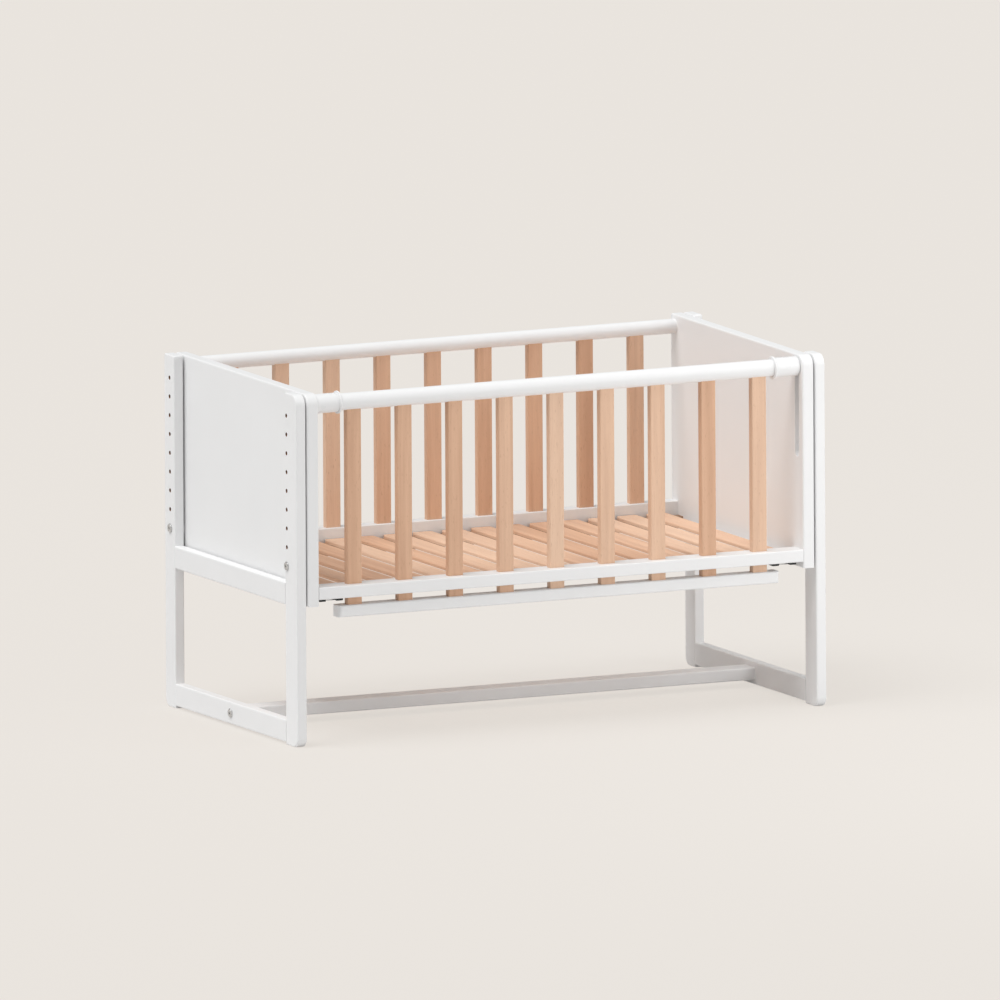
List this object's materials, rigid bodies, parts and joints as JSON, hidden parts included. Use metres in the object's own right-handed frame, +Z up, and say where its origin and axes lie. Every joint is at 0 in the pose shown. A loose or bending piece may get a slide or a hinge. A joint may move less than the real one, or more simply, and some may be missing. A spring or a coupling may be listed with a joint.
{
  "type": "bedside crib",
  "caption": "Bedside crib: slatted box with a drop side that slides down, held between open leg frames with rows of height-setting holes and a stretcher near the floor.",
  "frame": {"origin": "on the floor under the middle of the crib", "axes": "+X along the crib to its right end, +Y from the drop side to the fixed rear side, +Z up"},
  "size_m": [0.989, 0.52, 0.6],
  "materials": {
    "white_lacquer": "white satin lacquer",
    "bare_beech": "bare oiled beech",
    "white_plastic": "satin",
    "black_plastic": "matte",
    "bright_steel": "zinc plated",
    "spring_steel": "plain"
  },
  "bodies": {
    "crib_frame": {"left_front_post": "white_lacquer", "left_rear_post": "white_lacquer", "left_mid_rail": "white_lacquer", "left_foot_rail": "white_lacquer", "left_end_board": "white_lacquer", "left_belt_loop": "black_plastic", "right_front_post": "white_lacquer", "right_rear_post": "white_lacquer", "right_mid_rail": "white_lacquer", "right_foot_rail": "white_lacquer", "right_end_board": "white_lacquer", "right_belt_loop": "black_plastic", "stretcher": "white_lacquer", "rear_top_rail": "white_lacquer", "rear_lower_rail": "white_lacquer", "front_lower_rail": "white_lacquer", "front_ledge": "white_lacquer", "rear_ledge": "white_lacquer", "rear_slat_1": "bare_beech", "rear_slat_2": "bare_beech", "rear_slat_3": "bare_beech", "rear_slat_4": "bare_beech", "rear_slat_5": "bare_beech", "rear_slat_6": "bare_beech", "rear_slat_7": "bare_beech", "rear_slat_8": "bare_beech", "rear_slat_9": "bare_beech", "base_slats": "bare_beech", "box_bolts": "bright_steel", "stretcher_bolts": "bright_steel", "insert_nuts": "bright_steel", "barrel_nuts": "bright_steel", "spacer_washers": "white_plastic"},
    "drop_side": {"drop_top_rail": "white_lacquer", "drop_lower_bar": "white_lacquer", "drop_slat_1": "bare_beech", "drop_slat_2": "bare_beech", "drop_slat_3": "bare_beech", "drop_slat_4": "bare_beech", "drop_slat_5": "bare_beech", "drop_slat_6": "bare_beech", "drop_slat_7": "bare_beech", "drop_slat_8": "bare_beech", "drop_slat_9": "bare_beech"},
    "left_lock": {"left_lock_sleeve": "white_plastic", "left_guide_pin": "white_plastic", "left_lock_spring": "spring_steel"},
    "right_lock": {"right_lock_sleeve": "white_plastic", "right_guide_pin": "white_plastic", "right_lock_spring": "spring_steel"}
  },
  "joints": [
    {"name": "drop_side_slide", "type": "slide", "parent": "crib_frame", "child": "drop_side", "axis": [0, 0, 1], "range_m": [-0.147, 0]},
    {"name": "left_lock_slide", "type": "slide", "parent": "drop_side", "child": "left_lock", "axis": [1, 0, 0], "range_m": [0, 0.01], "stiffness_N_per_m": 300, "springref_m": -0.01},
    {"name": "right_lock_slide", "type": "slide", "parent": "drop_side", "child": "right_lock", "axis": [-1, 0, 0], "range_m": [0, 0.01], "stiffness_N_per_m": 300, "springref_m": -0.01}
  ]
}
